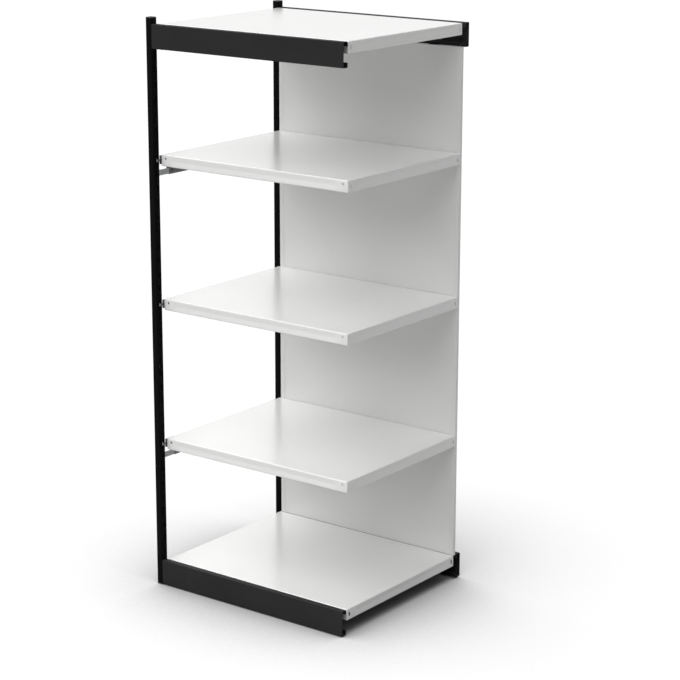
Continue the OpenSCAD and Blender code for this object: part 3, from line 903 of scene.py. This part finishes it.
def mould_plastic(name, deep, pale, dusty):
    """Moulded plastic with a fine grain, of the caps and feet."""
    material, tree, shader = new_finish(name, Specular_IOR_Level=0.35)
    grain = use_effect(tree, powder_coat, peel_scale=1400, cloud_scale=20)
    marks = use_effect(tree, handling, scale=30)["Mask"]
    colour = blend(tree, grain["Cloud"], deep, pale)
    colour = blend(tree, marks, colour, dusty)
    dress(tree, shader, colour, height=grain["Peel"], depth=0.08,
          roughness=between(tree, grain["Cloud"], 0.55, 0.68))
    return material


def plate_zinc(name, deep, pale, worn, smooth, rough, scale):
    """Plated steel: bare metal in crystals that shine a little differently."""
    material, tree, shader = new_finish(name, Metallic=0.9)
    crystals = use_effect(tree, spangle, scale=scale)
    marks = use_effect(tree, handling, scale=25)["Mask"]
    edges = use_effect(tree, cut_edges, breaks=200)["Mask"]
    colour = blend(tree, crystals["Tone"], deep, pale)
    colour = blend(tree, edges, colour, worn)
    colour = blend(tree, marks, colour, [SMUDGE_ON_ZINC * tone for tone in pale])
    dress(tree, shader, colour, height=crystals["Relief"], depth=0.03,
          roughness=between(tree, crystals["Tone"], smooth, rough))
    return material


def make_finishes():
    """All the finishes, each from a deep and a pale tone of its colour."""
    return {
        "frame_black": paint_black("frame_black", deep=(0.022, 0.022, 0.023),
                                   pale=(0.027, 0.027, 0.028), shine=0.07),
        "post_black": paint_black("post_black", deep=(0.002, 0.002, 0.002),
                                  pale=(0.004, 0.004, 0.004), shine=0.03),
        "cap_plastic": mould_plastic("cap_plastic", deep=(0.016, 0.016, 0.016),
                                     pale=(0.022, 0.022, 0.022), dusty=(0.03, 0.03, 0.03)),
        "shelf_white": paint_white("shelf_white", deep=(0.87, 0.87, 0.86),
                                   pale=(0.89, 0.89, 0.88), shine=0.3),
        "back_white": paint_white("back_white", deep=(0.75, 0.75, 0.74),
                                  pale=(0.77, 0.77, 0.76), shine=0.5),
        "zinc_steel": plate_zinc("zinc_steel", deep=(0.36, 0.37, 0.38),
                                 pale=(0.46, 0.47, 0.48), worn=(0.7, 0.71, 0.72),
                                 smooth=0.32, rough=0.5, scale=260),
        # Zinc plating made darker as painted shade, for the parts under the shelves and
        # beside the posts
        "dark_steel": plate_zinc("dark_steel", deep=(0.17, 0.17, 0.175),
                                 pale=(0.22, 0.22, 0.225), worn=(0.4, 0.4, 0.41),
                                 smooth=0.35, rough=0.5, scale=400),
        "zinc_fastener": plate_zinc("zinc_fastener", deep=(0.58, 0.58, 0.57),
                                    pale=(0.66, 0.66, 0.65), worn=(0.72, 0.72, 0.71),
                                    smooth=0.25, rough=0.36, scale=900),
    }


def finish_cad_nodes():
    """Gives each CAD node the finish of its material slot."""
    for part in frame["record"]["subparts"]:
        node = frame["nodes"][part["node"]]
        node.data.materials.clear()
        node.data.materials.append(finishes[part["material_slot"]])


def place_shelves():
    """Shelves and their stiffeners: the top ones are made, the others copied down."""
    low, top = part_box("top_shelf")
    shelf = model_shelf("top_tray", low, top)
    hat = model_stiffener("top_hat", *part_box("top_stiffener"))
    for level in reversed(LEVELS):
        down = (0, 0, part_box(level + "_shelf")[1].z - top.z)
        body = TRAYS.get(level, "bay_frame")
        tray = shelf if level == "top" else copy_of(shelf, level + "_sheet", down)
        ridge = hat if level == "top" else copy_of(hat, level + "_hat", down)
        settle(tray, "shelf_white", level + "_shelf", body)
        settle(ridge, "shelf_white", level + "_stiffener", body)


def place_rails():
    """Rails: the rear ones are mirrored, with holes where the strips lie on them."""
    for level in ("top", "bottom"):
        low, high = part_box(f"front_{level}_rail")
        rail = model_rail(f"front_{level}_channel", low, high)
        settle(rail, "frame_black", f"front_{level}_rail")
        drilled = model_rail("drilled_channel", low, high,
                             low.z if level == "top" else high.z)
        settle(mirrored(drilled, f"rear_{level}_channel"), "frame_black",
               f"rear_{level}_rail")
        bpy.data.objects.remove(drilled)


def place_posts():
    """Posts, with their caps and feet."""
    post = model_post("front_upright", *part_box("front_post"))
    settle(mirrored(post, "rear_upright"), "post_black", "rear_post")
    settle(post, "post_black", "front_post")
    for side in ("front_", "rear_"):
        cap = model_end_piece(side + "cap", side + "lid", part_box(side + "cap")[1].z)
        foot = model_end_piece(side + "foot", side + "pad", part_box(side + "foot")[0].z)
        settle(cap, "cap_plastic", side + "cap")
        settle(foot, "cap_plastic", side + "foot")


def place_rungs():
    """Cross-members: the bottom one is made, the others copied up from it."""
    low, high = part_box("bottom_rung")
    rung = model_rung("bottom_crossbar", low, high)
    # The cross-members take the darker zinc, whose darkness is painted shade under the
    # shelves
    for level in ("top", "upper", "lower"):
        up = (0, 0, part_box(level + "_rung")[0].z - low.z)
        settle(copy_of(rung, level + "_crossbar", up), "dark_steel", level + "_rung")
    settle(rung, "dark_steel", "bottom_rung")


def seam_levels():
    """The heights at which two back sections meet."""
    return [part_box(level + "_back")[1].z for level in ("bottom", "lower", "upper")]


def place_back():
    """Back sections, each with holes along the seams that it shares."""
    for level in ("top", "upper", "lower", "bottom"):
        low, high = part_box(level + "_back")
        seams = [z for z in seam_levels() if low.z - MM < z < high.z + MM]
        sheet = model_back(level + "_back_sheet", low, high, seams)
        settle(sheet, "back_white", level + "_back")


def place_plates():
    """Brackets, shoes, clips and strips."""
    for node, wall in (("rung_brackets", REST_WALL), ("top_rail_shoes", SHOE_WALL),
                       ("bottom_rail_shoes", SHOE_WALL), ("top_rest_brackets", REST_WALL),
                       ("bottom_rest_brackets", REST_WALL),
                       ("back_side_brackets", STRIP_WALL)):
        settle(model_bent_plate(node, wall), "zinc_steel", node)
    # The clips take the darker zinc, whose darkness is painted shade beside the posts
    for level in TRAYS:
        node = level + "_clips"
        settle(model_bent_plate(node, CLIP_WALL), "dark_steel", node)
    settle(model_strips("back_strips"), "zinc_steel", "back_strips")


def place_bolts():
    """Bolts of the cross-members and of the shoes."""
    bolt = model_bolt("bolt")
    rung_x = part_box("top_rung")[1].x
    shoe_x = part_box("shoe_bolts")[1].x - BOLT["head"] * MM
    post_y = (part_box("front_post")[0].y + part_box("front_post")[1].y) / 2
    for side in (-1, 1):
        # The cross-members' bolts take the same darker zinc, painted shade
        for level in ("bottom", "lower", "upper", "top"):
            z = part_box(level + "_rung")[0].z + RUNG_BOLT_UP * MM
            twin = copy_of(bolt, f"rung_bolt_{level}_{side + 1}",
                           (rung_x, side * RUNG_BOLT_Y * MM, z))
            settle(twin, "dark_steel", "rung_bolts")
        for count, z in enumerate(SHOE_BOLTS):
            twin = copy_of(bolt, f"shoe_bolt_{count}_{side + 1}",
                           (shoe_x, side * post_y, z * MM))
            settle(twin, "zinc_fastener", "shoe_bolts")
    bpy.data.objects.remove(bolt)


def screw_places():
    """Each screw's node and place, and the turn of those whose heads look up."""
    head_up = Matrix.Rotation(radians(180), 4, "X")
    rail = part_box("front_top_rail")[0]
    hole_y = rail.y + RAIL_HOLE_Y * MM
    rail_under = [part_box(f"front_{level}_rail")[0].z for level in ("bottom", "top")]
    low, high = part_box("back_strips")
    seam_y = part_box("top_back")[0].y + SEAM_SCREW_Y * MM
    places = [("rail_screws", (rail.x + inset * MM, side * hole_y, z), None)
              for inset in RAIL_HOLES for side in (-1, 1) for z in rail_under]
    for z, turn in ((high.z - STRIP_WALL * MM, None), (low.z + STRIP_WALL * MM, head_up)):
        places += [("strip_screws", (x * MM, -hole_y, z), turn) for x in STRIP_X]
    places += [("seam_screws", (x * MM, seam_y, z - PANEL_WALL * MM), None)
               for x in STRIP_X for z in seam_levels()]
    return places


def place_screws():
    """Screws of the rails, of the strips and of the back's seams."""
    screw = model_screw("screw")
    for count, (node, place, turn) in enumerate(screw_places()):
        settle(copy_of(screw, f"screw_{count}", place, turn), "zinc_fastener", node)
    bpy.data.objects.remove(screw)


powder_coat = make_powder_coat()
cut_edges = make_cut_edges()
spangle = make_spangle()
handling = make_handling()
finishes = make_finishes()

bpy.context.scene.view_settings.view_transform = "Standard"
add_camera()
add_lamps()
add_sky()
add_floor()

finish_cad_nodes()
place_shelves()
place_rails()
place_posts()
place_rungs()
place_back()
place_plates()
place_bolts()
place_screws()
